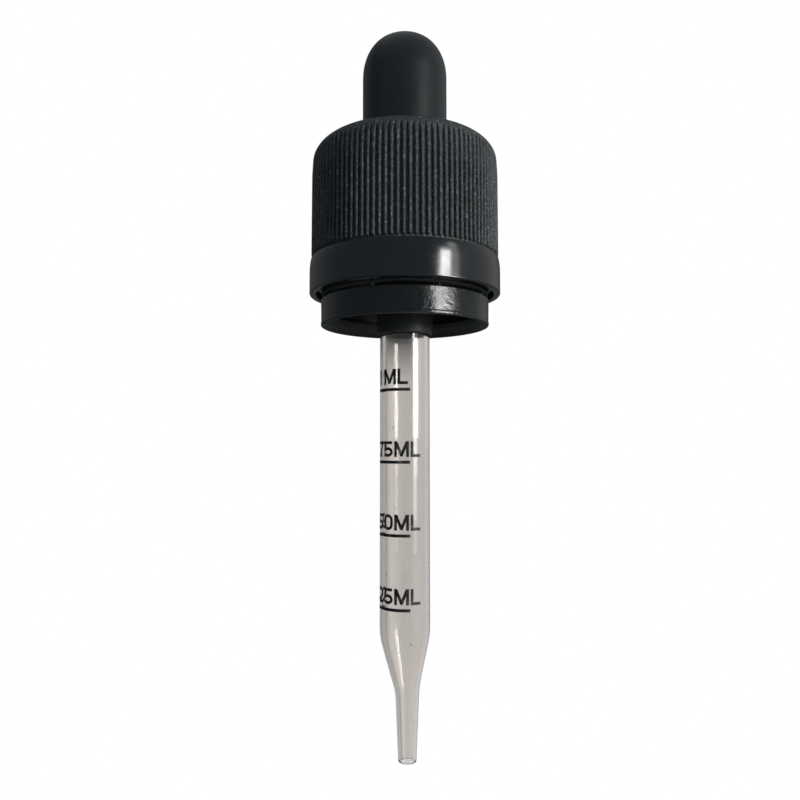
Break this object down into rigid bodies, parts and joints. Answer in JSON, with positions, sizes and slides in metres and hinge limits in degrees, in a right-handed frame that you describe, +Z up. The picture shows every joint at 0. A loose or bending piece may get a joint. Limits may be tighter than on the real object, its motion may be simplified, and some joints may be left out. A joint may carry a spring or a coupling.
{
  "type": "medicine dropper",
  "caption": "Push-and-turn screw closure with a tamper band, a soft rubber bulb and a straight graduated glass pipette with a tapered tip.",
  "frame": {"origin": "centre of the inner cap's sealing face, in the plane of the bottle's lip", "axes": "+Z up the axis towards the bulb, so the pipette points along -Z"},
  "size_m": [0.027, 0.027, 0.1025],
  "materials": {
    "black_plastic": "black moulded plastic, satin, with a fine grain on the ribs",
    "inner_plastic": "black moulded plastic, plain",
    "black_rubber": "matte black rubber",
    "clear_glass": "clear drawn glass tube, fire polished at both ends"
  },
  "bodies": {
    "inner_assembly": {"inner_cap": "inner_plastic", "glass_pipette": "clear_glass"},
    "spring_ring": {"push_spring": "inner_plastic"},
    "outer_shell": {"outer_cap": "black_plastic"},
    "bulb": {"rubber_bulb": "black_rubber"},
    "band": {"tamper_band": "black_plastic", "tamper_bridge_1": "black_plastic", "tamper_bridge_2": "black_plastic", "tamper_bridge_3": "black_plastic", "tamper_bridge_4": "black_plastic", "tamper_bridge_5": "black_plastic", "tamper_bridge_6": "black_plastic", "tamper_bridge_7": "black_plastic", "tamper_bridge_8": "black_plastic"}
  },
  "joints": [
    {"name": "cap_turn", "type": "hinge", "parent": "inner_assembly", "child": "spring_ring", "pos_m": [0, 0, 0], "axis": [0, 0, 1], "continuous": true},
    {"name": "cap_push", "type": "slide", "parent": "spring_ring", "child": "outer_shell", "axis": [0, 0, -1], "range_m": [0, 0.0015], "stiffness_N_per_m": 2000, "springref_m": -0.0003, "deforming": ["push_spring"]},
    {"name": "bulb_press", "type": "slide", "parent": "inner_assembly", "child": "bulb", "axis": [0, 0, -1], "range_m": [0, 0.0045], "stiffness_N_per_m": 400, "springref_m": -0.0002, "deforming": ["rubber_bulb"]},
    {"name": "band_release", "type": "slide", "parent": "inner_assembly", "child": "band", "axis": [0, 0, -1], "range_m": [0, 0.07]}
  ]
}
